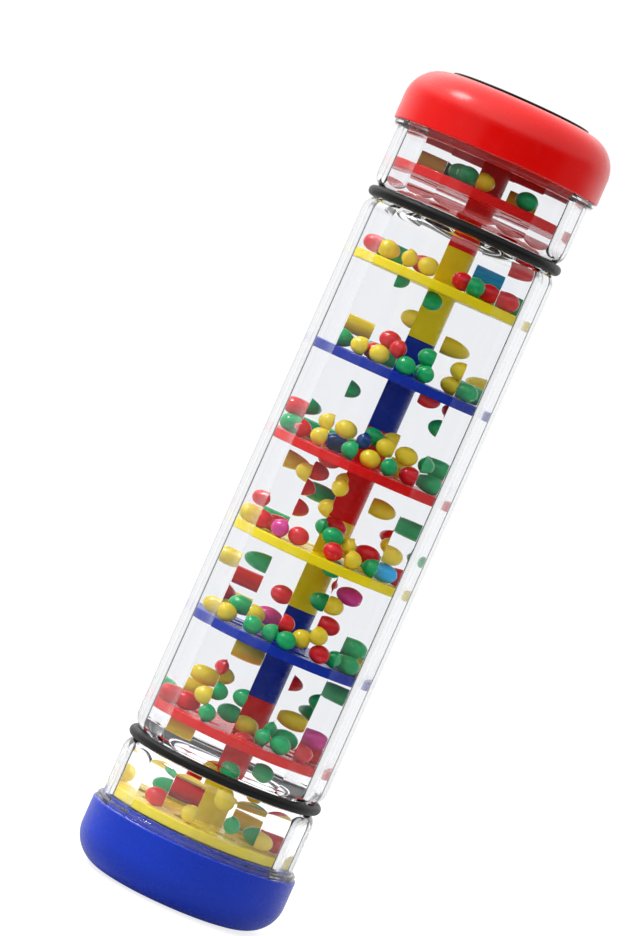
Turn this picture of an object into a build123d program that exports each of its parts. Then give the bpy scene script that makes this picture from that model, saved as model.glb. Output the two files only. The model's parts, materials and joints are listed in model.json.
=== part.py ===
"""Clear-tube rainstick: a shaker toy 8 inches long that stands upright on its blue cap.

A core of eight disc-and-stem modules, plugged end to end, runs down the axis of a clear housing.
The housing is a long tube, faceted inside, with a short clear collar plugged into each end. A black
rubber ring sits in the groove at each joint, and a hollow cap closes each end. Beads rest on the
discs or fall between them through the holes in the discs.
"""

import math
import os
import random

from build123d import *

os.makedirs("parts", exist_ok=True)

# ---------------------------------------------------------------- driving dimensions (mm)
OVERALL_LENGTH = 203.2
CAP_RADIUS = 25.85
CAP_HEIGHT = 15.1
CAP_SHOULDER = 8.4
CAP_WALL = 2.0
PAD_RADIUS = 17.2
PAD_PROUD = 0.6
PAD_THICK = 1.4

TUBE_RADIUS = 24.2
BORE_FACETS = 18
BORE_CORNER_RADIUS = 22.2
BORE_TURN = -5.8  # angle of one bore corner from the front, seen from above

RING_SECTION = 2.5
RING_CENTRE_RADIUS = 23.2
RING_HEIGHTS = (32.6, 170.6)
RING_GAP = 2.9

DISC_COUNT = 8
FIRST_DISC = 18.4
DISC_PITCH = 22.9
DISC_RADIUS = 21.2
DISC_THICK = 2.3
STEM_RADIUS = 3.3
STEM_ABOVE = 10.0
HOLE_COUNT = 8
HOLE_RING_RADIUS = 12.85
HOLE_RADIUS = 2.85

BEAD_DIAMETER = 4.3
AIR = 0.04  # clear space kept round every bead

# ---------------------------------------------------------------- derived dimensions
BORE_APOTHEM = BORE_CORNER_RADIUS * math.cos(math.pi / BORE_FACETS)
STEM_BELOW = DISC_PITCH - STEM_ABOVE
PIN_RADIUS = 2.2
PIN_LENGTH = 4.6
PIN_FIT = 0.05
SOCKET_DEPTH = PIN_LENGTH + 0.3

NECK_RADIUS = CAP_RADIUS - CAP_WALL - 0.15
NECK_DEPTH = 7.8
FLANGE_RADIUS = 25.3
FLANGE_THICK = 1.35
SHOULDER_RADIUS = 3.9
TUBE_LIP_RADIUS = 22.6
COLLAR_NECK_BORE = 20.75
TUBE_NECK_BORE = 20.64
TUBE_FLARE_RADIUS = 2.95
FLARE_MOUTH = 21.84  # where a tube's flare meets its flats
MOUTH_SLOPE = 2.5
BORE_CLEAR = 22.35  # just outside the bore's corners
SPIGOT_RADIUS = RING_CENTRE_RADIUS - RING_SECTION / 2 - 0.1
SPIGOT_REACH = 2.95
SOCKET_RADIUS = SPIGOT_RADIUS + 0.1
SOCKET_END_GAP = 0.05

CAP_PLUG_RADIUS = BORE_APOTHEM - 0.2
CAP_PLUG_BORE = 19.7
CAP_PLUG_REACH = 1.7
BOSS_RADIUS = 5.0

DISC_HEIGHTS = [FIRST_DISC + DISC_PITCH * k for k in range(DISC_COUNT)]
DISC_COLOURS = ["yellow", "red", "blue", "yellow", "red", "blue", "yellow", "red"]
# Angle of one hole in each disc, so that the holes of neighbouring discs don't line up.
HOLE_TURNS = [-62.0, -84.5, -68.0, -75.5, -121.8, -50.0, -132.3, -98.0]

BEAD_RADIUS = BEAD_DIAMETER / 2
REST_LIFT = DISC_THICK / 2 + BEAD_RADIUS + AIR


def finish(part, name):
    """Label a finished piece and write it to its own file."""
    part.label = name
    export_step(part, f"parts/{name}.step")


# ---------------------------------------------------------------- caps
def cap_profile(height):
    """Half section of a cap whose closed end is at z = 0: outer skin, rim and inner skin."""
    flat = CAP_RADIUS - CAP_SHOULDER
    inner = CAP_SHOULDER - CAP_WALL
    with BuildSketch(Plane.XZ) as section:
        with BuildLine():
            Line((0, 0), (flat, 0))
            RadiusArc((flat, 0), (CAP_RADIUS, CAP_SHOULDER), -CAP_SHOULDER)
            Line((CAP_RADIUS, CAP_SHOULDER), (CAP_RADIUS, height))
            Line((CAP_RADIUS, height), (CAP_RADIUS - CAP_WALL, height))
            Line((CAP_RADIUS - CAP_WALL, height), (CAP_RADIUS - CAP_WALL, CAP_SHOULDER))
            RadiusArc((CAP_RADIUS - CAP_WALL, CAP_SHOULDER), (flat, CAP_WALL), inner)
            Line((flat, CAP_WALL), (0, CAP_WALL))
            Line((0, CAP_WALL), (0, 0))
        make_face()
    return section.sketch


def plug_ring(height):
    """Half section of the ring inside a cap that centres the collar's bore."""
    with BuildSketch(Plane.XZ) as section:
        with Locations((CAP_PLUG_BORE, CAP_WALL)):
            Rectangle(
                CAP_PLUG_RADIUS - CAP_PLUG_BORE,
                height + CAP_PLUG_REACH - CAP_WALL,
                align=(Align.MIN, Align.MIN),
            )
    return section.sketch


stem_bottom = FIRST_DISC - STEM_BELOW
with BuildPart() as blue_cap:
    add(cap_profile(CAP_HEIGHT))
    add(plug_ring(CAP_HEIGHT))
    revolve(axis=Axis.Z)
    with BuildSketch(Plane.XY.offset(CAP_WALL)):
        Circle(BOSS_RADIUS)
    extrude(amount=stem_bottom - CAP_WALL)
    with BuildSketch(Plane.XY.offset(stem_bottom)):
        Circle(PIN_RADIUS)
    extrude(amount=PIN_LENGTH)
    chamfer(blue_cap.faces().filter_by(Plane.XY).group_by(Axis.Z)[-2].edges()
            .filter_by(GeomType.CIRCLE).sort_by(SortBy.RADIUS)[:1], 0.5)
    rim = blue_cap.edges().filter_by(GeomType.CIRCLE).filter_by_position(Axis.Z, CAP_HEIGHT, CAP_HEIGHT)
    fillet(rim.sort_by(SortBy.RADIUS)[-1:], 0.4)
finish(blue_cap.part, "blue_cap")

red_cap_height = CAP_HEIGHT - PAD_PROUD
stem_top = DISC_HEIGHTS[-1] + STEM_ABOVE
red_end = OVERALL_LENGTH - PAD_PROUD
boss_depth = red_end - stem_top
with BuildPart() as red_cap_upright:
    add(cap_profile(red_cap_height))
    add(plug_ring(red_cap_height))
    revolve(axis=Axis.Z)
    with BuildSketch(Plane.XY.offset(CAP_WALL)):
        Circle(BOSS_RADIUS)
    extrude(amount=boss_depth - CAP_WALL)
    with BuildSketch(Plane.XY.offset(boss_depth)):
        Circle(PIN_RADIUS + PIN_FIT)
    extrude(amount=-SOCKET_DEPTH, mode=Mode.SUBTRACT)
    with BuildSketch(Plane.XY):
        Circle(PAD_RADIUS + 0.1)
    extrude(amount=PAD_THICK - PAD_PROUD, mode=Mode.SUBTRACT)
    rim = red_cap_upright.edges().filter_by(GeomType.CIRCLE)
    rim = rim.filter_by_position(Axis.Z, red_cap_height, red_cap_height)
    fillet(rim.sort_by(SortBy.RADIUS)[-1:], 0.4)
with BuildPart() as red_cap:
    add(red_cap_upright.part.rotate(Axis.X, 180).translate((0, 0, red_end)))
finish(red_cap.part, "red_cap")

with BuildPart() as red_cap_pad:
    with BuildSketch(Plane.XY.offset(OVERALL_LENGTH - PAD_THICK)):
        Circle(PAD_RADIUS)
    extrude(amount=PAD_THICK)
    fillet(red_cap_pad.faces().sort_by(Axis.Z)[-1].edges(), 0.3)
finish(red_cap_pad.part, "red_cap_pad")


# ---------------------------------------------------------------- clear housing
half_gap = RING_GAP / 2
shoulder_rise = math.sqrt(SHOULDER_RADIUS**2 - (SHOULDER_RADIUS - TUBE_RADIUS + TUBE_LIP_RADIUS) ** 2)


def lower_collar_outline():
    """Half section of the lower collar's outside, filled to the axis."""
    neck_low = CAP_HEIGHT - NECK_DEPTH
    flange_top = CAP_HEIGHT + FLANGE_THICK
    ring = RING_HEIGHTS[0]
    lip = ring - half_gap
    with BuildSketch(Plane.XZ) as section:
        with BuildLine():
            Polyline(
                (0, neck_low),
                (NECK_RADIUS - 0.5, neck_low),
                (NECK_RADIUS, neck_low + 0.5),
                (NECK_RADIUS, CAP_HEIGHT),
                (FLANGE_RADIUS, CAP_HEIGHT),
                (FLANGE_RADIUS, flange_top - 0.4),
                (FLANGE_RADIUS - 0.4, flange_top),
                (TUBE_RADIUS, flange_top),
                (TUBE_RADIUS, lip - shoulder_rise),
            )
            RadiusArc((TUBE_RADIUS, lip - shoulder_rise), (TUBE_LIP_RADIUS, lip), -SHOULDER_RADIUS)
            Polyline(
                (TUBE_LIP_RADIUS, lip),
                (SPIGOT_RADIUS, lip),
                (SPIGOT_RADIUS, ring + SPIGOT_REACH),
                (0, ring + SPIGOT_REACH),
                (0, neck_low),
            )
        make_face()
    return section.sketch


# The space inside the lower half of the housing: a faceted bore that narrows in a smooth flare to a
# round neck at the ring. The flare inside the collar is the curve of its outside, moved inward. The one
# inside the tube is tighter and starts level with the outside's.
lip_low = RING_HEIGHTS[0] - half_gap
lip_high = RING_HEIGHTS[0] + half_gap
middle = OVERALL_LENGTH / 2
flare_angle = math.acos((TUBE_NECK_BORE - FLARE_MOUTH + TUBE_FLARE_RADIUS) / TUBE_FLARE_RADIUS)
flare_height = TUBE_FLARE_RADIUS * math.sin(flare_angle)
flare_top = lip_high + shoulder_rise
mouth_top = flare_top + MOUTH_SLOPE * (BORE_CLEAR - FLARE_MOUTH)
with BuildPart() as bore_space:
    with BuildSketch(Plane.XZ):
        with BuildLine():
            Polyline((0, middle), (0, 0), (BORE_CLEAR, 0), (BORE_CLEAR, lip_low - shoulder_rise))
            RadiusArc((BORE_CLEAR, lip_low - shoulder_rise), (COLLAR_NECK_BORE, lip_low), -SHOULDER_RADIUS)
            Polyline(
                (COLLAR_NECK_BORE, lip_low),
                (TUBE_NECK_BORE, lip_high),
                (TUBE_NECK_BORE, flare_top - flare_height),
            )
            RadiusArc(
                (TUBE_NECK_BORE, flare_top - flare_height),
                (FLARE_MOUTH, flare_top),
                -TUBE_FLARE_RADIUS,
            )
            Polyline((FLARE_MOUTH, flare_top), (BORE_CLEAR, mouth_top), (BORE_CLEAR, middle), (0, middle))
        make_face()
    revolve(axis=Axis.Z)
    with BuildSketch(Plane.XY):
        RegularPolygon(BORE_CORNER_RADIUS, BORE_FACETS, rotation=BORE_TURN - 90)
    extrude(amount=OVERALL_LENGTH, mode=Mode.INTERSECT)

with BuildPart() as lower_collar:
    add(lower_collar_outline())
    revolve(axis=Axis.Z)
    add(bore_space.part, mode=Mode.SUBTRACT)
finish(lower_collar.part, "lower_collar")

with BuildPart() as upper_collar:
    add(mirror(lower_collar.part, about=Plane.XY.offset(OVERALL_LENGTH / 2), mode=Mode.PRIVATE))
finish(upper_collar.part, "upper_collar")

with BuildPart() as lower_half_tube:
    with BuildSketch(Plane.XZ):
        with BuildLine():
            Line((0, lip_high), (TUBE_LIP_RADIUS, lip_high))
            RadiusArc((TUBE_LIP_RADIUS, lip_high), (TUBE_RADIUS, flare_top), -SHOULDER_RADIUS)
            Polyline((TUBE_RADIUS, flare_top), (TUBE_RADIUS, middle), (0, middle), (0, lip_high))
        make_face()
    revolve(axis=Axis.Z)
    add(bore_space.part, mode=Mode.SUBTRACT)
    with BuildSketch(Plane.XY.offset(lip_high)):
        Circle(SOCKET_RADIUS)
    extrude(amount=SPIGOT_REACH + SOCKET_END_GAP - half_gap, mode=Mode.SUBTRACT)
with BuildPart() as main_tube:
    add(lower_half_tube.part)
    add(mirror(lower_half_tube.part, about=Plane.XY.offset(middle), mode=Mode.PRIVATE))
finish(main_tube.part, "main_tube")

for name, height in zip(("lower_ring_seal", "upper_ring_seal"), RING_HEIGHTS):
    with BuildPart() as ring_seal:
        with BuildSketch(Plane.XZ):
            with Locations((RING_CENTRE_RADIUS, height)):
                Circle(RING_SECTION / 2)
        revolve(axis=Axis.Z)
    finish(ring_seal.part, name)


# ---------------------------------------------------------------- disc-and-stem modules
def hole_centres(index):
    """Centres of the bead holes in disc number index, counted from 0 at the bottom."""
    turns = [math.radians(HOLE_TURNS[index] + 360 * k / HOLE_COUNT) for k in range(HOLE_COUNT)]
    return [(HOLE_RING_RADIUS * math.cos(a), HOLE_RING_RADIUS * math.sin(a)) for a in turns]


for index, (centre, colour) in enumerate(zip(DISC_HEIGHTS, DISC_COLOURS)):
    with BuildPart() as module:
        with BuildSketch(Plane.XY.offset(centre - STEM_BELOW)):
            Circle(STEM_RADIUS)
        extrude(amount=DISC_PITCH)
        with BuildSketch(Plane.XY.offset(centre - DISC_THICK / 2)):
            Circle(DISC_RADIUS)
        extrude(amount=DISC_THICK)
        roots = module.edges().filter_by(GeomType.CIRCLE)
        roots = roots.filter_by_position(Axis.Z, centre - DISC_THICK / 2, centre + DISC_THICK / 2)
        fillet(roots.group_by(SortBy.RADIUS)[0], 0.6)
        rims = module.edges().filter_by(GeomType.CIRCLE)
        fillet(rims.group_by(SortBy.RADIUS)[-1], 0.3)
        with BuildSketch(Plane.XY.offset(centre + STEM_ABOVE)):
            Circle(PIN_RADIUS)
        extrude(amount=PIN_LENGTH)
        chamfer(module.faces().sort_by(Axis.Z)[-1].edges(), 0.5)
        with BuildSketch(Plane.XY.offset(centre - STEM_BELOW)):
            Circle(PIN_RADIUS + PIN_FIT)
        extrude(amount=SOCKET_DEPTH, mode=Mode.SUBTRACT)
        with BuildSketch(Plane.XY.offset(centre - DISC_THICK / 2)):
            with Locations(*hole_centres(index)):
                Circle(HOLE_RADIUS)
        extrude(amount=DISC_THICK, mode=Mode.SUBTRACT)
    finish(module.part, f"disc_{index + 1}_{colour}")


# ---------------------------------------------------------------- beads
# Each bead is (colour, x, y, lift): lift is its height above lying on the disc below it.
# Chambers are numbered from 1, each above the disc of the same number. The front of the stick is -Y.
RESTING = {
    1: [
        ("red", -12.0, -12.8, 0), ("yellow", -3.3, -16.6, 0), ("yellow", 14.2, -11.0, 0),
        ("green", 11.6, -6.5, 0), ("red", 16.9, -4.0, 0), ("yellow", -18.3, 5.5, 0),
        ("red", -6.3, 15.0, 0), ("yellow", 9.6, 9.0, 0),
    ],
    2: [
        ("green", -18.5, 2.0, 0), ("red", -17.6, -8.3, 0), ("red", -14.0, -9.5, 0),
        ("green", -9.0, -16.8, 0), ("yellow", 0.6, -8.5, 0.3), ("green", 5.6, -12.0, 2.0),
        ("green", 4.8, -16.0, 0), ("green", 8.9, -16.6, 0), ("green", 9.6, -8.6, 1.0),
        ("red", 14.2, -13.0, 0), ("red", 16.6, -4.0, 0), ("yellow", -14.0, 0.5, 2.4),
        ("yellow", -11.0, -14.4, 3.4), ("green", -5.3, -9.0, 1.4), ("pink", 15.9, -8.4, 3.7),
    ],
    3: [
        ("red", -0.4, -16.0, 3.2), ("yellow", -17.4, -8.6, 0), ("yellow", -13.8, -13.0, 0),
        ("green", -12.2, -11.0, 2.6), ("yellow", -7.6, -11.5, 2.0),
        ("green", -6.6, -17.0, 0), ("green", -2.9, -17.9, 0), ("green", 2.6, -18.2, 0),
        ("yellow", 3.0, -13.6, 1.6), ("red", 8.0, -17.3, 0), ("green", 11.6, -13.0, 0),
        ("green", 15.2, -11.6, 0), ("yellow", 17.4, -6.0, 0), ("yellow", 5.6, -16.9, 3.8),
        ("green", 15.6, -9.0, 3.9), ("green", 16.4, -2.0, 2.4), ("green", 16.0, 3.0, 0),
        ("yellow", -13.5, 4.0, 1.8),
    ],
    4: [
        ("yellow", -17.4, -8.6, 0), ("red", -13.4, -11.0, 0), ("red", -11.8, -6.8, 0),
        ("pink", -9.6, -15.0, 0), ("red", -5.6, -16.4, 0), ("red", 0.8, -17.8, 0),
        ("yellow", 6.8, -17.2, 0), ("green", 11.4, -14.4, 0), ("blue", 15.0, -10.6, 0),
        ("red", 17.6, -5.4, 0), ("green", -13.6, 8.0, 0), ("yellow", 3.2, -14.0, 2.4),
        ("green", -1.6, -15.4, 3.0), ("red", 9.6, -10.0, 2.2), ("yellow", 14.6, -12.2, 4.3),
        ("red", -16.9, -9.6, 4.3),
    ],
    5: [
        ("green", -18.0, -7.6, 0), ("red", -15.3, -11.5, 0), ("yellow", -11.0, -14.8, 0),
        ("blue", -6.9, -10.2, 0), ("green", -3.6, -17.2, 0), ("yellow", 1.3, -17.4, 0),
        ("green", 5.8, -17.4, 0), ("red", 10.7, -14.6, 0), ("green", 15.6, -9.5, 0),
        ("green", -13.6, 7.0, 0), ("green", -6.4, 9.0, 0), ("yellow", 9.3, 4.0, 0),
        ("red", -18.3, -6.0, 3.9), ("yellow", -10.8, -12.4, 3.8), ("yellow", -6.3, -14.2, 3.9),
        ("blue", -1.6, -14.6, 3.1), ("green", 0.6, -11.2, 4.7), ("yellow", 3.4, -15.0, 3.8),
        ("yellow", 8.7, -14.2, 3.9), ("green", 13.0, -11.6, 3.7), ("green", 16.3, -5.6, 3.9),
        ("yellow", 5.6, -9.5, 5.5),
    ],
    6: [
        ("green", -0.2, -18.0, 0), ("green", 4.6, -17.6, 0), ("green", 2.2, -13.9, 0),
        ("green", 2.9, -16.1, 3.7), ("yellow", -6.1, -16.5, 0), ("yellow", -10.5, -15.4, 0),
        ("red", -8.0, -10.5, 0), ("red", -14.2, 2.0, 0), ("green", -15.0, -9.5, 0),
        ("yellow", 9.8, -10.5, 0), ("yellow", 11.5, -12.5, 3.9), ("green", 14.8, -12.3, 0),
        ("green", 16.2, -1.5, 0), ("red", -2.4, -15.6, 2.8), ("red", -5.2, -14.0, 3.9),
    ],
    7: [
        ("red", -17.3, -9.2, 0), ("yellow", -13.9, -12.6, 0), ("green", -13.9, 5.0, 0),
        ("yellow", -8.9, -15.5, 0), ("yellow", -4.5, -16.5, 0), ("red", -5.6, -9.0, 0),
        ("red", 3.7, -14.7, 0), ("green", 7.2, -17.3, 0), ("red", 10.4, -12.6, 0),
        ("green", 10.2, 1.5, 0), ("red", 15.3, -11.3, 0), ("green", 16.6, 0.0, 0),
        ("yellow", 9.2, 10.0, 0), ("blue", 9.5, 13.0, 3.6),
    ],
    8: [
        ("yellow", -0.4, -15.0, 0), ("green", -6.1, -9.0, 0), ("green", -4.8, -13.5, 0),
        ("yellow", -13.7, 9.0, 0), ("green", 9.9, -14.0, 0), ("yellow", 9.5, 12.0, 0),
    ],
}
FALLING = {
    1: [
        ("yellow", 2.4, -16.6, 5.7), ("green", 1.0, -17.2, 12.8), ("yellow", -3.2, -13.2, 10.8),
        ("green", 8.2, -13.0, 15.0), ("yellow", -13.7, 8.0, 14.9), ("green", 6.2, -16.4, 1.3),
        ("green", -11.6, -6.0, 2.1),
    ],
    2: [
        ("yellow", -6.4, 8.0, 14.6), ("red", -11.4, -11.0, 10.7), ("yellow", -13.2, -5.0, 6.8),
        ("yellow", -7.5, -7.0, 8.6), ("green", -8.6, -12.0, 5.2), ("green", -3.9, -11.5, 6.2),
        ("red", 7.1, -2.0, 13.1), ("green", 12.4, -5.5, 11.7), ("green", 12.0, 4.0, 8.0),
        ("green", 16.3, 4.0, 14.5), ("yellow", 9.8, -3.2, 5.2),
    ],
    3: [
        ("red", 5.9, -4.0, 15.2), ("pink", 9.8, -9.0, 14.5), ("pink", -5.6, -6.6, 2.6), ("green", -12.4, -3.0, 13.2),
        ("yellow", -18.4, -4.8, 11.5), ("red", -13.8, 9.0, 7.5), ("red", -5.6, -13.6, 8.9),
        ("green", 3.4, -11.0, 10.7), ("yellow", 7.3, -15.0, 11.2), ("red", 9.2, -12.0, 6.4),
        ("red", -15.8, -2.0, 3.5),
    ],
    4: [
        ("yellow", -14.6, -1.0, 14.8), ("yellow", -10.2, -14.0, 14.0), ("red", -7.9, -7.5, 15.0),
        ("yellow", -3.9, -11.0, 15.6), ("yellow", -2.3, -16.2, 14.1), ("green", -6.2, 3.0, 10.2),
        ("red", -9.4, -5.0, 10.5), ("yellow", -4.0, -13.0, 8.5), ("red", -8.5, -4.0, 5.4),
        ("yellow", 8.8, -4.0, 12.8), ("green", 16.2, 3.0, 11.0), ("red", 12.2, 0.0, 7.5),
        ("yellow", 12.7, -5.6, 5.9), ("green", 18.7, -2.6, 5.4), ("red", 0.6, -8.0, 4.9),
        ("green", -5.9, -11.0, 4.1),
    ],
    5: [
        ("green", 9.2, -9.5, 12.6), ("green", -7.9, -6.0, 12.6), ("green", -15.6, -3.0, 5.1),
    ],
    6: [
        ("green", 0.6, -15.5, 16.0), ("yellow", -4.2, -11.0, 10.4), ("yellow", 10.4, 0.0, 8.0),
        ("yellow", -13.8, 8.0, 3.7), ("yellow", 15.5, 7.5, 2.6),
    ],
    7: [("red", 15.3, -4.0, 7.8)],
}
# Beads halfway through a hole of the disc: (colour, number of the hole, lift).
IN_HOLES = {
    2: [("red", 0, -3.1)],
    4: [("green", 0, -3.8)],
    5: [("red", 0, -3.9)],
    6: [("red", 0, -4.9), ("red", 1, -5.7)],
    7: [("green", 0, -5.2)],
}
# Beads on the far side of the stem, scattered over each disc: how many there are.
SCATTERED = {1: 0, 2: 4, 3: 4, 4: 4, 5: 5, 6: 4, 7: 3, 8: 2}
SCATTER_COLOURS = ["green", "yellow", "red"]

WALL_REACH = BORE_APOTHEM - BEAD_RADIUS - AIR
STEM_REACH = STEM_RADIUS + BEAD_RADIUS + 0.15
HOLE_REACH = HOLE_RADIUS + 0.15
ROOM = BEAD_DIAMETER + AIR
NEARLY = AIR / 10
SETTLE_ROUNDS = 2000


class Bead:
    """One bead: its colour, its place over the disc and whether it may be nudged aside."""

    def __init__(self, colour, x, y, lift, falling=False, fixed=False):
        self.colour = colour
        self.x = x
        self.y = y
        self.lift = lift
        self.falling = falling
        self.fixed = fixed


def keep_in_bore(bead):
    """Bring a bead back between the stem and the wall."""
    reach = math.hypot(bead.x, bead.y)
    wanted = min(max(reach, STEM_REACH), WALL_REACH)
    bead.x *= wanted / reach
    bead.y *= wanted / reach


def keep_off_holes(bead, holes):
    """Move a bead that lies on the disc off the edge of any hole."""
    for hole_x, hole_y in holes:
        dx = bead.x - hole_x
        dy = bead.y - hole_y
        gap = math.hypot(dx, dy)
        if gap < HOLE_REACH:
            bead.x = hole_x + dx / gap * HOLE_REACH
            bead.y = hole_y + dy / gap * HOLE_REACH


def wanted_gap(a, b):
    """Distance that two beads keep, seen from above.

    A resting bead, a falling bead and a guest from the disc above each need their own column,
    because one travels past the other. Beads of one group travel together, so one may lie partly
    over the other.
    """
    if a.falling != b.falling or "guest" in (a.colour, b.colour):
        return ROOM
    return math.sqrt(max(ROOM**2 - (a.lift - b.lift) ** 2, 0))


def settle(beads, holes):
    """Push beads apart, off the holes and off the walls until none is in another's way."""
    for _ in range(SETTLE_ROUNDS):
        for bead in beads:
            if not bead.fixed:
                if bead.lift < 1 and not bead.falling:
                    keep_off_holes(bead, holes)
                keep_in_bore(bead)
        moved = False
        for i, a in enumerate(beads):
            for b in beads[:i]:
                dx = a.x - b.x
                dy = a.y - b.y
                gap = max(math.hypot(dx, dy), 0.001)
                short = wanted_gap(a, b) - gap
                if short < NEARLY or (a.fixed and b.fixed):
                    continue
                moved = True
                share = 1.01 * short / gap
                share_a = 0 if a.fixed else share if b.fixed else share / 2
                share_b = 0 if b.fixed else share if a.fixed else share / 2
                a.x += dx * share_a
                a.y += dy * share_a
                b.x -= dx * share_b
                b.y -= dy * share_b
        if not moved:
            return
    raise RuntimeError("the beads of a chamber don't fit")


def scattered_beads(beads, holes, count, source):
    """Beads dropped at random on the far half of a disc, where there is room for them."""
    found = []
    while len(found) < count:
        reach = source.uniform(STEM_REACH + 1, WALL_REACH)
        turn = math.radians(source.uniform(20, 160))
        x = reach * math.cos(turn)
        y = reach * math.sin(turn)
        clear_of_beads = all(math.hypot(x - b.x, y - b.y) > ROOM + 0.2 for b in beads + found)
        clear_of_holes = all(math.hypot(x - hx, y - hy) > HOLE_REACH for hx, hy in holes)
        if clear_of_beads and clear_of_holes:
            found.append(Bead(SCATTER_COLOURS[len(found) % 3], x, y, 0))
    return found


def chamber_beads(chamber):
    """Every bead above one disc, and the beads of neighbouring chambers that reach into it."""
    holes = hole_centres(chamber - 1)
    beads = [Bead(*bead) for bead in RESTING[chamber]]
    beads += [Bead(*bead, falling=True) for bead in FALLING.get(chamber, [])]
    for colour, hole, lift in IN_HOLES.get(chamber, []):
        beads.append(Bead(colour, *holes[hole], lift, fixed=True))
    guests = []
    for _, hole, lift in IN_HOLES.get(chamber + 1, []):
        guests.append(Bead("guest", *hole_centres(chamber)[hole], lift + DISC_PITCH, fixed=True))
    settle(beads + guests, holes)
    source = random.Random(chamber)
    beads += scattered_beads(beads + guests, holes, SCATTERED[chamber], source)
    return beads


def ceiling(chamber, bead):
    """Highest lift that a bead can reach in its chamber."""
    rest = DISC_HEIGHTS[chamber - 1] + REST_LIFT
    reach = math.hypot(bead.x, bead.y)
    limits = []
    if chamber < DISC_COUNT:
        limits.append(DISC_HEIGHTS[chamber] - DISC_THICK / 2)
    else:
        limits.append(red_end - CAP_WALL)
        if reach > CAP_PLUG_BORE - BEAD_RADIUS - AIR:
            limits.append(red_end - red_cap_height - CAP_PLUG_REACH)
    rings = {1: RING_HEIGHTS[0], DISC_COUNT - 1: RING_HEIGHTS[1]}
    if chamber in rings and reach > TUBE_NECK_BORE - BEAD_RADIUS - AIR:
        limits.append(rings[chamber] - half_gap - shoulder_rise + BEAD_RADIUS + AIR)
    return min(limits) - BEAD_RADIUS - AIR - rest


for chamber in RESTING:
    beads = chamber_beads(chamber)
    rest_height = DISC_HEIGHTS[chamber - 1] + REST_LIFT
    for falling, word in ((False, "resting"), (True, "falling")):
        group = [bead for bead in beads if bead.falling == falling]
        loose = [bead for bead in group if not bead.fixed]
        if not loose:
            continue
        rise = min(ceiling(chamber, bead) - bead.lift for bead in loose)
        drop = min(bead.lift for bead in loose)
        print(f"{word}_beads_{chamber}: {len(group)} beads, drop {drop:.2f}, rise {rise:.2f}")
        for colour in dict.fromkeys(bead.colour for bead in group):
            places = [(b.x, b.y, rest_height + b.lift) for b in group if b.colour == colour]
            with BuildPart() as bead_set:
                with Locations(*places):
                    Sphere(BEAD_RADIUS)
            finish(bead_set.part, f"{word}_beads_{chamber}_{colour}")
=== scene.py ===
"""Looks of the clear-tube rainstick: clear plastic that bends light, moulded caps and discs,
rubber rings and polished beads, round the fixed CAD frame. All lengths are in metres.
"""

import json
import math
import random

import bmesh
import bpy
import numpy as np
from mathutils import Euler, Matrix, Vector

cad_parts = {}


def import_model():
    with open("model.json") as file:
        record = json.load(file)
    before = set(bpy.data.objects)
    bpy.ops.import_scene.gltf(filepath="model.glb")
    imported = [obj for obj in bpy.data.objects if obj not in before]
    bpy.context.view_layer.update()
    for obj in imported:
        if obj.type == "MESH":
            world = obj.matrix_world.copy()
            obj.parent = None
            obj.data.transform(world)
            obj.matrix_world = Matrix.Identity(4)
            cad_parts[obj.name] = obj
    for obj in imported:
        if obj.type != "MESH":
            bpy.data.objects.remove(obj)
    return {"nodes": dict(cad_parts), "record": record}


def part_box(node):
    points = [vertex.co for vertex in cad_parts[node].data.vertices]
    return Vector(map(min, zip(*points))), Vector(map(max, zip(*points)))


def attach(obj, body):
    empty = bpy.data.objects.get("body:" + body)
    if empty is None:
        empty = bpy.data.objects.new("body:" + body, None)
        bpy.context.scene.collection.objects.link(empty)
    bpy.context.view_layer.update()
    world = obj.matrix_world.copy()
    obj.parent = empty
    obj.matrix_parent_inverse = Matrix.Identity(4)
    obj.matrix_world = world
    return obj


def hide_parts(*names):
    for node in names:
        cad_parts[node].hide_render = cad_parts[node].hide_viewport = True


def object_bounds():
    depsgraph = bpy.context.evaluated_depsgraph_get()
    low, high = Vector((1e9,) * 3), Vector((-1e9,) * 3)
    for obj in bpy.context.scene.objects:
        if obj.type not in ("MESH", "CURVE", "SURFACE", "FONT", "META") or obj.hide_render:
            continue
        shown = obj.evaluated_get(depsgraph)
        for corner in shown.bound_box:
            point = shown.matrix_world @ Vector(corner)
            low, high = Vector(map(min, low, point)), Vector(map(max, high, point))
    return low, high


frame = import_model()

cad_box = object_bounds()
nodes = frame["nodes"]
slot_of_node = {part["node"]: part["material_slot"] for part in frame["record"]["subparts"]}
body_of_node = {
    node: body for body, members in frame["record"]["behaviour"]["bodies"].items() for node in members
}

MM = 0.001
TOP = cad_box[1].z
TUBE_LOW, TUBE_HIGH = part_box("main_tube")
COLLAR_LOW, COLLAR_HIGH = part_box("lower_collar")
RING_LOW, RING_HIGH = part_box("lower_ring_seal")

# Clear housing: what its boxes don't say about its shape.
BORE_FACETS = 18
BORE_CORNER_RADIUS = 22.2 * MM
BORE_TURN = math.radians(-5.8)  # turn of one bore corner from the front (-Y)
CORNER_ROUNDING = 0.6 * MM
CORNER_STEPS = 3
CORNER_SUPPORT = 0.12 * MM
FACET_STEPS = 14
LIP_RADIUS = 22.6 * MM
SHOULDER_RADIUS = 3.9 * MM
SHOULDER_STEPS = 12
COLLAR_NECK_BORE = 20.75 * MM
TUBE_NECK_BORE = 20.64 * MM
TUBE_FLARE_RADIUS = 2.95 * MM
FLARE_MOUTH = BORE_CORNER_RADIUS * math.cos(math.pi / BORE_FACETS)  # half width across the flats
FLARE_CENTRE = FLARE_MOUTH - TUBE_FLARE_RADIUS
NECK_RADIUS = 23.7 * MM
NECK_DEPTH = 7.8 * MM
NECK_CHAMFER = 0.5 * MM
FLANGE_THICK = 1.35 * MM
SPIGOT_RADIUS = 21.85 * MM
SOCKET_RADIUS = 21.95 * MM
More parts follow.
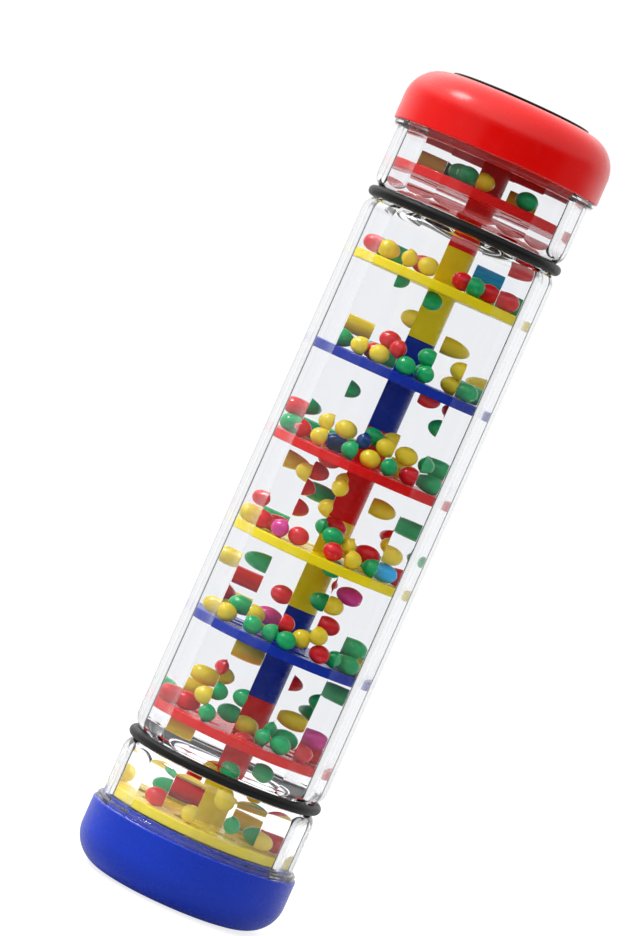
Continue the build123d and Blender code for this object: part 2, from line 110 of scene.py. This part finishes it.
SOCKET_END_GAP = 0.05 * MM
CEMENT_INNER_RADIUS = 21.45 * MM
CEMENT_MARGIN = 0.02 * MM
CHAMFER = 0.4 * MM
HOUSING_BEVEL = 0.08 * MM
HOUSING_SMOOTH = 15.0  # degrees

# Beads.
BEAD_RADIUS = 2.15 * MM
BEAD_SIDES = 36
SEAM_DEPTH = 0.012 * MM
SEAM_HALF_ANGLE = 1.6  # degrees
GATE_RADIUS = 0.42 * MM

# Camera, as the photograph was taken: level with the stick, a little from above, and rolled.
EYE = Vector((-8.8, -1015.0, 140.0)) * MM
AIM = Vector((-8.8, 0.0, 106.0)) * MM
ROLL = math.radians(23.95)
LENS = 167.0
SENSOR = 36.0

# Studio. Brightness 1 is white paper.
KEY_PLACE = (-0.815, -0.173, 0.963)
KEY_SIDE = 0.26
KEY_POWER = 5.0
KEY_GLINT = 20.0
GLINT_ANGLES = (0.26, 0.20)  # radians from the key's middle where its glint begins and is full
DARK_FROM = (-30, -20)  # degrees from the front, towards +X, between which the dark side begins
DARK_TO = (62, 72)  # and ends
DARK_LEVEL = 0.03
DARK_LEVEL_INSIDE = 1.2
SIDE_LEVELS = (0.38, 0.22)
CEILING_LEVELS = (1.9, 0.85)
BELOW_LEVEL = 0.35
BACKDROP_LEVEL = 1.02
FLOOR_HALF = 3.0
FLOOR_FADE = (0.15, 0.6)
FLOOR_DROP = 0.2 * MM


# ---------------------------------------------------------------- node helpers
class Nodes:
    """A short way to add and join shader nodes in one tree."""

    def __init__(self, tree):
        self.tree = tree
        self.tree.nodes.clear()

    def add(self, kind, **inputs):
        """Adds a node. An input's value is a number, a colour or another node's output."""
        node = self.tree.nodes.new(kind)
        self.set(node, **inputs)
        return node

    def join(self, value, socket):
        if isinstance(value, bpy.types.NodeSocket):
            self.tree.links.new(value, socket)
        else:
            socket.default_value = value

    def set(self, node, **inputs):
        for name, value in inputs.items():
            key = int(name[1:]) if name[0] == "i" and name[1:].isdigit() else name.replace("_", " ")
            socket = node.inputs[key]
            self.join(value, socket)
        return node

    def math(self, operation, a, b=0.0, clamp=False):
        node = self.add("ShaderNodeMath", i0=a, i1=b)
        node.operation = operation
        node.use_clamp = clamp
        return node.outputs[0]

    def ramp(self, value, low, high, out_low=0.0, out_high=1.0, smooth=True):
        """value from low to high becomes out_low to out_high, and stays there beyond them."""
        node = self.add("ShaderNodeMapRange", Value=value)
        node.interpolation_type = "SMOOTHSTEP" if smooth else "LINEAR"
        self.set(node, **{"From_Min": low, "From_Max": high, "To_Min": out_low, "To_Max": out_high})
        return node.outputs["Result"]

    def noise(self, coordinates, scale, detail=2.0, roughness=0.5):
        node = self.add("ShaderNodeTexNoise", Vector=coordinates, Scale=scale, Detail=detail)
        node.inputs["Roughness"].default_value = roughness
        return node.outputs["Fac"]

    def blend(self, factor, a, b):
        """A number between a and b."""
        node = self.tree.nodes.new("ShaderNodeMix")
        for socket, value in ((node.inputs[0], factor), (node.inputs[2], a), (node.inputs[3], b)):
            self.join(value, socket)
        return node.outputs[0]

    def mix(self, factor, a, b):
        """A colour between a and b."""
        node = self.tree.nodes.new("ShaderNodeMix")
        node.data_type = "RGBA"
        for socket, value in ((node.inputs[0], factor), (node.inputs[6], a), (node.inputs[7], b)):
            self.join(value, socket)
        return node.outputs[2]


def rgb(red, green, blue):
    """A colour given as on a screen, 0 to 255, as the linear colour that shaders take."""
    def linear(value):
        share = value / 255
        return share / 12.92 if share <= 0.04045 else ((share + 0.055) / 1.055) ** 2.4
    return (linear(red), linear(green), linear(blue), 1.0)


def new_material(name):
    material = bpy.data.materials.new(name)
    material.use_nodes = True
    return material, Nodes(material.node_tree)


def finish_material(kit, surface):
    kit.add("ShaderNodeOutputMaterial", Surface=surface)


# ---------------------------------------------------------------- materials
def moulded_plastic(name, colour, shade, roughness, ior=1.5, peel=0.00001, clouding=45.0):
    """Injection-moulded plastic: pigment that clouds a little, faint peel, fine scuffs on its gloss."""
    material, kit = new_material(name)
    place = kit.add("ShaderNodeTexCoord").outputs["Object"]
    cloud = kit.ramp(kit.noise(place, clouding, 3.0), 0.35, 0.65)
    pigment = kit.mix(cloud, colour, shade)
    scuffs = kit.noise(place, 300.0, 4.0, 0.6)
    gloss = kit.ramp(scuffs, 0.35, 0.75, roughness - 0.02, roughness + 0.05)
    bump = kit.add("ShaderNodeBump", Height=kit.noise(place, 420.0, 2.0), Distance=peel, Strength=0.5)
    shader = kit.add(
        "ShaderNodeBsdfPrincipled",
        Base_Color=pigment, Roughness=gloss, Normal=bump.outputs[0], IOR=ior,
    )
    finish_material(kit, shader.outputs[0])
    return material


def bonded(kit, place):
    """1 on the two faces of each joint where a spigot is cemented into its socket, which can't be seen
    from outside, and 0 elsewhere."""
    split = kit.add("ShaderNodeSeparateXYZ", Vector=place)
    x, y, z = (split.outputs[k] for k in range(3))
    squares = kit.math("ADD", kit.math("MULTIPLY", x, x), kit.math("MULTIPLY", y, y))
    from_axis = kit.math("SQRT", squares)
    from_middle = kit.math("ABSOLUTE", kit.math("SUBTRACT", z, TOP / 2))
    joint_end = TOP / 2 - COLLAR_HIGH.z - 2 * SOCKET_END_GAP
    lip = TUBE_HIGH.z - TOP / 2 - CEMENT_MARGIN
    limits = [
        kit.math("GREATER_THAN", from_axis, CEMENT_INNER_RADIUS),
        kit.math("LESS_THAN", from_axis, SOCKET_RADIUS + CEMENT_MARGIN),
        kit.math("GREATER_THAN", from_middle, joint_end),
        kit.math("LESS_THAN", from_middle, lip),
    ]
    inside = limits[0]
    for limit in limits[1:]:
        inside = kit.math("MULTIPLY", inside, limit)
    return inside


def clear_plastic():
    """Water-clear polystyrene. Lamps reach through it, so that what is inside is lit."""
    material, kit = new_material("clear_polystyrene")
    place = kit.add("ShaderNodeTexCoord").outputs["Object"]
    flow = kit.noise(place, 60.0, 2.0)
    haze = kit.ramp(kit.noise(place, 700.0, 6.0, 0.7), 0.60, 0.80, 0.0, 0.03)
    bump = kit.add("ShaderNodeBump", Height=flow, Distance=0.00004, Strength=0.35)
    glass = kit.add(
        "ShaderNodeBsdfPrincipled",
        Base_Color=rgb(252, 253, 255), Roughness=haze, IOR=1.53, Transmission_Weight=1.0,
        Normal=bump.outputs[0],
    )
    cement = kit.add("ShaderNodeBsdfTransparent", Color=(1.0, 1.0, 1.0, 1.0))
    wall = kit.add("ShaderNodeMixShader", i0=bonded(kit, place), i1=glass.outputs[0], i2=cement.outputs[0])
    lamp_way = kit.add("ShaderNodeBsdfTransparent", Color=(0.96, 0.965, 0.97, 1.0))
    light_path = kit.add("ShaderNodeLightPath")
    both = kit.add(
        "ShaderNodeMixShader",
        i0=light_path.outputs["Is Shadow Ray"], i1=wall.outputs[0], i2=lamp_way.outputs[0],
    )
    finish_material(kit, both.outputs[0])
    return material


def rubber(name, grain):
    """Black rubber with a soft grey bloom and fine grain."""
    material, kit = new_material(name)
    place = kit.add("ShaderNodeTexCoord").outputs["Object"]
    bloom = kit.ramp(kit.noise(place, 160.0, 4.0), 0.4, 0.7)
    colour = kit.mix(bloom, rgb(8, 8, 9), rgb(16, 16, 18))
    rough = kit.ramp(kit.noise(place, 1200.0, 3.0), 0.3, 0.7, 0.34, 0.5)
    bump = kit.add("ShaderNodeBump", Height=kit.noise(place, grain, 3.0), Distance=0.00003, Strength=0.6)
    shader = kit.add(
        "ShaderNodeBsdfPrincipled",
        Base_Color=colour, Roughness=rough, Normal=bump.outputs[0], Sheen_Weight=0.03, IOR=1.3,
    )
    finish_material(kit, shader.outputs[0])
    return material


MATERIALS = {
    "cap_red": moulded_plastic("red_cap_plastic", rgb(238, 6, 2), rgb(233, 5, 2), 0.24, 1.45),
    "cap_blue": moulded_plastic("blue_cap_plastic", rgb(0, 52, 190), rgb(0, 49, 182), 0.26, 1.38),
    "pad_black": rubber("pad_foam_rubber", 2400.0),
    "ring_rubber": rubber("ring_rubber", 1500.0),
    "clear_housing": clear_plastic(),
    "disc_yellow": moulded_plastic("yellow_disc_plastic", rgb(242, 222, 4), rgb(238, 214, 3), 0.26, 1.25),
    "disc_red": moulded_plastic("red_disc_plastic", rgb(226, 6, 5), rgb(216, 5, 4), 0.26, 1.25),
    "disc_blue": moulded_plastic("blue_disc_plastic", rgb(2, 46, 165), rgb(2, 41, 154), 0.26, 1.25),
    "bead_red": moulded_plastic("red_bead_plastic", rgb(222, 28, 38), rgb(206, 20, 30), 0.12, 1.42),
    "bead_yellow": moulded_plastic("yellow_bead_plastic", rgb(238, 212, 48), rgb(226, 198, 36), 0.12, 1.42),
    "bead_green": moulded_plastic("green_bead_plastic", rgb(2, 172, 98), rgb(2, 160, 90), 0.12, 1.42),
    "bead_blue": moulded_plastic("blue_bead_plastic", rgb(30, 185, 255), rgb(24, 175, 252), 0.12, 1.42),
    "bead_navy": moulded_plastic("navy_bead_plastic", rgb(22, 70, 140), rgb(16, 58, 124), 0.12, 1.42),
    "bead_pink": moulded_plastic("pink_bead_plastic", rgb(222, 60, 150), rgb(208, 50, 138), 0.12, 1.42),
}


# ---------------------------------------------------------------- mesh helpers
def mesh_piece(name, vertices, faces, smooth_angle=30.0):
    """A new mesh object with outward normals, smooth except across edges sharper than the angle."""
    mesh = bpy.data.meshes.new(name)
    mesh.from_pydata([tuple(v) for v in vertices], [], faces)
    work = bmesh.new()
    work.from_mesh(mesh)
    bmesh.ops.recalc_face_normals(work, faces=work.faces)
    if work.calc_volume(signed=True) < 0:
        bmesh.ops.reverse_faces(work, faces=work.faces)
    work.to_mesh(mesh)
    work.free()
    mesh.polygons.foreach_set("use_smooth", [True] * len(mesh.polygons))
    mesh.set_sharp_from_angle(angle=math.radians(smooth_angle))
    piece = bpy.data.objects.new(name, mesh)
    bpy.context.scene.collection.objects.link(piece)
    return piece


def arc(centre_r, centre_z, radius, start, end, steps):
    """Points (r, z) on an arc from angle start to angle end, in degrees from outward."""
    angles = [math.radians(start + (end - start) * k / steps) for k in range(steps + 1)]
    return [(centre_r + radius * math.cos(a), centre_z + radius * math.sin(a)) for a in angles]


def stand_for(piece, node):
    """The piece is shown in place of the CAD node, rides on its body and has its material."""
    slot = slot_of_node[node]
    piece.data.materials.append(MATERIALS[slot])
    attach(piece, body_of_node[node])
    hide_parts(node)


# ---------------------------------------------------------------- clear housing
def bore_walk():
    """(angle, radius) of points once round the bore: flat facets between lightly rounded corners."""
    half = math.pi / BORE_FACETS
    apothem = BORE_CORNER_RADIUS * math.cos(half)
    centre = (apothem - CORNER_ROUNDING) / math.cos(half)
    side = apothem * math.tan(half) - CORNER_ROUNDING * math.tan(half)
    local = []
    for k in range(CORNER_STEPS + 1):
        swing = half * (2 * k / CORNER_STEPS - 1)
        local.append((centre + CORNER_ROUNDING * math.cos(swing), CORNER_ROUNDING * math.sin(swing)))
    corner = [(math.atan2(y, x), math.hypot(x, y)) for x, y in local]
    spots = [-side + CORNER_SUPPORT]
    spots += [-side + 2 * side * k / FACET_STEPS for k in range(1, FACET_STEPS)]
    spots += [side - CORNER_SUPPORT]
    facet = [(half + math.atan2(s, apothem), math.hypot(s, apothem)) for s in spots]
    turns = [BORE_TURN - math.pi / 2 + 2 * half * n for n in range(BORE_FACETS)]
    return [(turn + angle, radius) for turn in turns for angle, radius in corner + facet]


WALK = bore_walk()


def ring_shell(name, section):
    """A closed shell swept round the axis. The section gives its outline, as (radius, z) points, at a
    corner or flat where the bore has a given radius."""
    columns = [(angle, section(bore)) for angle, bore in WALK]
    around = len(columns)
    rows = len(columns[0][1])
    vertices = []
    for angle, outline in columns:
        vertices += [(r * math.cos(angle), r * math.sin(angle), z) for r, z in outline]
    faces = []
    for k in range(around):
        here = k * rows
        ahead = (k + 1) % around * rows
        for row in range(rows):
            above = (row + 1) % rows
            faces.append((here + row, ahead + row, ahead + above, here + above))
    piece = mesh_piece(name, vertices, faces, HOUSING_SMOOTH)
    bevel = piece.modifiers.new("softened_edges", "BEVEL")
    bevel.width = HOUSING_BEVEL
    bevel.segments = 2
    bevel.limit_method = "ANGLE"
    bevel.angle_limit = math.radians(35)
    bevel.use_clamp_overlap = True
    return piece


def shoulder_centre(radius, lip, upward):
    """Centre (radius, z) of the arc that rounds off a clear tube towards its lip."""
    centre_r = radius - SHOULDER_RADIUS
    rise = math.sqrt(SHOULDER_RADIUS**2 - (LIP_RADIUS - centre_r) ** 2)
    return centre_r, lip - rise if upward else lip + rise


def outer_shoulder(radius, lip, upward):
    """The rounded end of a clear tube, seen from outside, in order of height."""
    centre_r, centre_z = shoulder_centre(radius, lip, upward)
    reach = math.degrees(math.acos((LIP_RADIUS - centre_r) / SHOULDER_RADIUS))
    start, end = (0, reach) if upward else (-reach, 0)
    return arc(centre_r, centre_z, SHOULDER_RADIUS, start, end, SHOULDER_STEPS)


def collar_flare(bore, radius, lip):
    """The inside of the lower collar's shoulder, from its neck down to where the bore's flat or corner
    runs into it: the curve of the outside, moved inward."""
    centre_r, centre_z = shoulder_centre(radius, lip, upward=True)
    centre_r -= LIP_RADIUS - COLLAR_NECK_BORE
    start = math.degrees(math.acos((COLLAR_NECK_BORE - centre_r) / SHOULDER_RADIUS))
    stop = math.degrees(math.acos((bore - centre_r) / SHOULDER_RADIUS))
    return arc(centre_r, centre_z, SHOULDER_RADIUS, start, stop, SHOULDER_STEPS)


def tube_flare(bore, centre_z, start, stop, upward):
    """Part of the curve inside the main tube's end, along which the flats and corners of the bore run
    on. It keeps the view through the wall straight. The angles are 0 where it begins."""
    side = 1 if upward else -1
    curve = arc(FLARE_CENTRE, centre_z, TUBE_FLARE_RADIUS, side * start, side * stop, SHOULDER_STEPS)
    return [(radius * bore / FLARE_MOUTH, z) for radius, z in curve]


def flare_angle_at(rise):
    """Angle on the tube's flare at a height above where it begins."""
    return math.degrees(math.asin(rise / TUBE_FLARE_RADIUS))


def main_tube():
    """The long tube, with a shallow socket in each lip for the collar's spigot."""
    steps = COLLAR_HIGH.z - SOCKET_END_GAP, TOP - COLLAR_HIGH.z + SOCKET_END_GAP
    outside = outer_shoulder(TUBE_HIGH.x, TUBE_LOW.z, upward=False)
    outside += outer_shoulder(TUBE_HIGH.x, TUBE_HIGH.z, upward=True)

    def end_inside(bore, lip, step, upward):
        """The bore's end, from its lip inward."""
        centre_z = shoulder_centre(TUBE_HIGH.x, lip, upward)[1]
        points = [(SOCKET_RADIUS, lip), (SOCKET_RADIUS, step)]
        return points + tube_flare(bore, centre_z, flare_angle_at(abs(step - centre_z)), 0, upward)

    def section(bore):
        lower = end_inside(bore, TUBE_LOW.z, steps[0], upward=False)
        return outside + end_inside(bore, TUBE_HIGH.z, steps[1], upward=True) + lower[::-1]

    stand_for(ring_shell("clear_main_tube", section), "main_tube")


def collar_section(bore):
    """The lower collar from its neck in the cap to the spigot that plugs into the main tube. The wall
    stays even round the ring's groove, and beads roll through the narrowed bore there."""
    cap_rim = COLLAR_LOW.z + NECK_DEPTH
    flange_top = cap_rim + FLANGE_THICK
    lip = RING_LOW.z + RING_HIGH.z - TUBE_LOW.z
    outside = [
        (NECK_RADIUS - NECK_CHAMFER, COLLAR_LOW.z),
        (NECK_RADIUS, COLLAR_LOW.z + NECK_CHAMFER),
        (NECK_RADIUS, cap_rim),
        (COLLAR_HIGH.x, cap_rim),
        (COLLAR_HIGH.x, flange_top - CHAMFER),
        (COLLAR_HIGH.x - CHAMFER, flange_top),
        (TUBE_HIGH.x, flange_top),
    ]
    outside += outer_shoulder(TUBE_HIGH.x, lip, upward=True)
    outside += [(SPIGOT_RADIUS, lip), (SPIGOT_RADIUS, COLLAR_HIGH.z)]
    centre_z = shoulder_centre(TUBE_HIGH.x, TUBE_LOW.z, upward=False)[1]
    neck_angle = math.degrees(math.acos((TUBE_NECK_BORE - FLARE_CENTRE) / TUBE_FLARE_RADIUS))
    spigot = tube_flare(bore, centre_z, flare_angle_at(centre_z - COLLAR_HIGH.z), neck_angle, upward=False)
    return outside + spigot + collar_flare(bore, TUBE_HIGH.x, lip) + [(bore, COLLAR_LOW.z)]


def collars():
    stand_for(ring_shell("clear_lower_collar", collar_section), "lower_collar")

    def upside_down(bore):
        return [(radius, TOP - z) for radius, z in collar_section(bore)]

    stand_for(ring_shell("clear_upper_collar", upside_down), "upper_collar")


# ---------------------------------------------------------------- beads
def on_bead(angle):
    """Point (radius, z) on a bead's round surface, at an angle in degrees from its pole."""
    turn = math.radians(angle)
    return BEAD_RADIUS * math.sin(turn), BEAD_RADIUS * math.cos(turn)


def bead_template():
    """Vertices and faces of one bead: round, with a gate scar at one pole and a fine parting seam."""
    turn = [4 + 80 * k / 11 for k in range(1, 12)]
    scar = math.degrees(math.asin(GATE_RADIUS / BEAD_RADIUS))
    flat = BEAD_RADIUS * math.cos(math.radians(scar))
    profile = [(0.45 * GATE_RADIUS, flat + 0.03 * MM), (0.6 * GATE_RADIUS, flat - 0.03 * MM)]
    profile += [(GATE_RADIUS, flat)]
    angles = [a for a in turn if a > scar + 3] + [90 - SEAM_HALF_ANGLE]
    profile += [on_bead(a) for a in angles]
    profile += [(BEAD_RADIUS - SEAM_DEPTH, 0.0)]
    angles = [90 + SEAM_HALF_ANGLE] + [180 - a for a in reversed(turn)]
    profile += [on_bead(a) for a in angles]
    poles = [(0.0, 0.0, flat + 0.035 * MM), (0.0, 0.0, -BEAD_RADIUS)]
    vertices = []
    for radius, z in profile:
        for k in range(BEAD_SIDES):
            angle = 2 * math.pi * k / BEAD_SIDES
            vertices.append((radius * math.cos(angle), radius * math.sin(angle), z))
    faces = []
    for row in range(len(profile) - 1):
        for k in range(BEAD_SIDES):
            ahead = (k + 1) % BEAD_SIDES
            first = row * BEAD_SIDES
            faces.append((first + k, first + BEAD_SIDES + k, first + BEAD_SIDES + ahead, first + ahead))
    top, bottom = len(vertices), len(vertices) + 1
    last = (len(profile) - 1) * BEAD_SIDES
    for k in range(BEAD_SIDES):
        ahead = (k + 1) % BEAD_SIDES
        faces.append((top, k, ahead))
        faces.append((bottom, last + ahead, last + k))
    return np.array(vertices + poles), faces


def bead_centres(node):
    """Centre of every separate bead in a CAD node's mesh."""
    work = bmesh.new()
    work.from_mesh(nodes[node].data)
    bmesh.ops.remove_doubles(work, verts=work.verts, dist=0.001 * MM)
    seen = set()
    centres = []
    for start in work.verts:
        if start in seen:
            continue
        seen.add(start)
        waiting, island = [start], []
        while waiting:
            vertex = waiting.pop()
            island.append(vertex.co)
            for edge in vertex.link_edges:
                other = edge.other_vert(vertex)
                if other not in seen:
                    seen.add(other)
                    waiting.append(other)
        corners = np.array(island)
        centres.append((corners.min(0) + corners.max(0)) / 2)
    work.free()
    return sorted(centres, key=lambda c: tuple(np.round(c, 6)))


def beads():
    shape, shape_faces = bead_template()
    for number, node in enumerate(sorted(n for n in nodes if "_beads_" in n)):
        source = random.Random(number)
        vertices, faces = [], []
        for centre in bead_centres(node):
            spin = Euler([source.uniform(0, 2 * math.pi) for _ in range(3)]).to_matrix()
            base = len(vertices)
            vertices += list(shape @ np.array(spin).T + centre)
            faces += [tuple(base + i for i in face) for face in shape_faces]
        piece = mesh_piece(f"{node}_moulded", vertices, faces, 50.0)
        stand_for(piece, node)


# ---------------------------------------------------------------- CAD nodes that stay
def dress_cad_nodes():
    """Caps, pad, rings and discs keep their CAD shape and get their finish here."""
    for node, piece in nodes.items():
        if piece.hide_render:
            continue
        piece.data.materials.clear()
        piece.data.materials.append(MATERIALS[slot_of_node[node]])


# ---------------------------------------------------------------- studio
def floor():
    """A plain white floor that fades out, so that no horizon shows."""
    corners = [(-1, -1), (1, -1), (1, 1), (-1, 1)]
    mesh = bpy.data.meshes.new("floor")
    mesh.from_pydata([(FLOOR_HALF * x, FLOOR_HALF * y, -FLOOR_DROP) for x, y in corners], [], [(0, 1, 2, 3)])
    piece = bpy.data.objects.new("floor", mesh)
    bpy.context.scene.collection.objects.link(piece)
    material, kit = new_material("studio_floor")
    place = kit.add("ShaderNodeTexCoord").outputs["Object"]
    distance = kit.add("ShaderNodeVectorMath", i0=place)
    distance.operation = "LENGTH"
    fade = kit.ramp(distance.outputs["Value"], *FLOOR_FADE)
    paper = kit.add("ShaderNodeBsdfDiffuse", Color=(0.45, 0.45, 0.45, 1.0))
    path = kit.add("ShaderNodeLightPath")
    bounced = kit.math("ADD", path.outputs["Glossy Depth"], path.outputs["Diffuse Depth"])
    glow = kit.add("ShaderNodeEmission", Strength=kit.ramp(bounced, 0.0, 1.0, 0.8, 0.05))
    table = kit.add("ShaderNodeAddShader", i0=paper.outputs[0], i1=glow.outputs[0])
    gone = kit.add("ShaderNodeBsdfTransparent")
    both = kit.add("ShaderNodeMixShader", i0=fade, i1=table.outputs[0], i2=gone.outputs[0])
    finish_material(kit, both.outputs[0])
    piece.data.materials.append(material)


def world():
    """The studio all round. Seen straight, or through the clear walls, it is plain white. Gloss and
    shade see what is really there: a dim band at eye level, dark on the camera's side, white above.
    The shade of what is inside the clear walls is softer, and its gloss has a wider glint of the key."""
    scene_world = bpy.data.worlds.new("studio")
    bpy.context.scene.world = scene_world
    scene_world.use_nodes = True
    kit = Nodes(scene_world.node_tree)
    place = kit.add("ShaderNodeTexCoord").outputs["Generated"]
    way = kit.add("ShaderNodeSeparateXYZ", Vector=place)
    x, y, z = (way.outputs[k] for k in range(3))
    azimuth = kit.math("ARCTAN2", x, kit.math("MULTIPLY", y, -1.0))
    dark = kit.math(
        "MULTIPLY",
        kit.ramp(azimuth, *(math.radians(a) for a in DARK_FROM)),
        kit.ramp(azimuth, *(math.radians(a) for a in DARK_TO), 1.0, 0.0),
    )
    sides = kit.ramp(x, -0.4, 0.4, *SIDE_LEVELS)
    band = kit.blend(kit.ramp(y, 0.1, 0.7), sides, 1.0)
    path = kit.add("ShaderNodeLightPath")
    inside = kit.math("GREATER_THAN", path.outputs["Transmission Depth"], 0.5)
    shading = kit.math("MULTIPLY", inside, kit.math("GREATER_THAN", path.outputs["Diffuse Depth"], 0.5))
    band = kit.blend(dark, band, kit.blend(shading, DARK_LEVEL, DARK_LEVEL_INSIDE))
    ceiling = kit.ramp(x, -0.8, 0.8, *CEILING_LEVELS)
    upper = kit.blend(kit.ramp(z, 0.2, 0.45), band, ceiling)
    studio = kit.blend(kit.ramp(z, -0.25, -0.1, 1.0, 0.0), upper, BELOW_LEVEL)
    glossy = kit.math("MULTIPLY", inside, kit.math("GREATER_THAN", path.outputs["Glossy Depth"], 0.5))
    key_way = kit.add("ShaderNodeVectorMath", i0=place, i1=Vector(KEY_PLACE).normalized())
    key_way.operation = "DOT_PRODUCT"
    window = kit.ramp(key_way.outputs["Value"], *(math.cos(a) for a in GLINT_ANGLES))
    studio = kit.blend(kit.math("MULTIPLY", glossy, window), studio, KEY_GLINT)
    bounced = kit.math("ADD", path.outputs["Glossy Depth"], path.outputs["Diffuse Depth"])
    straight = kit.math("LESS_THAN", bounced, 0.5)
    crossings = kit.math("GREATER_THAN", path.outputs["Transmission Depth"], 2.5)
    clear_way = kit.math("MULTIPLY", straight, crossings)
    through = kit.math("MULTIPLY", path.outputs["Is Transmission Ray"], clear_way)
    backdrop = kit.math("ADD", path.outputs["Is Camera Ray"], through, clamp=True)
    white = (1.0, 1.0, 1.0, 1.0)
    level = kit.blend(backdrop, studio, BACKDROP_LEVEL)
    background = kit.add("ShaderNodeBackground", Color=white, Strength=level)
    kit.add("ShaderNodeOutputWorld", Surface=background.outputs[0])


def key_light():
    """A square softbox, high on the left, aimed at the middle of the stick."""
    lamp = bpy.data.lights.new("key", "AREA")
    lamp.shape = "RECTANGLE"
    lamp.size = KEY_SIDE
    lamp.size_y = KEY_SIDE
    lamp.energy = KEY_POWER
    holder = bpy.data.objects.new("key", lamp)
    holder.location = KEY_PLACE
    holder.rotation_mode = "QUATERNION"
    holder.rotation_quaternion = (Vector((0.0, 0.0, 0.1)) - Vector(KEY_PLACE)).to_track_quat("-Z", "Y")
    bpy.context.scene.collection.objects.link(holder)


def camera():
    data = bpy.data.cameras.new("camera")
    data.lens = LENS
    data.sensor_width = SENSOR
    holder = bpy.data.objects.new("camera", data)
    holder.rotation_mode = "QUATERNION"
    facing = (AIM - EYE).to_track_quat("-Z", "Y")
    roll = Euler((0.0, 0.0, ROLL)).to_quaternion()
    holder.location = EYE
    holder.rotation_quaternion = facing @ roll
    bpy.context.scene.collection.objects.link(holder)
    bpy.context.scene.camera = holder


camera()
main_tube()
collars()
beads()
dress_cad_nodes()
floor()
world()
key_light()
bpy.context.scene.view_settings.view_transform = "Standard"
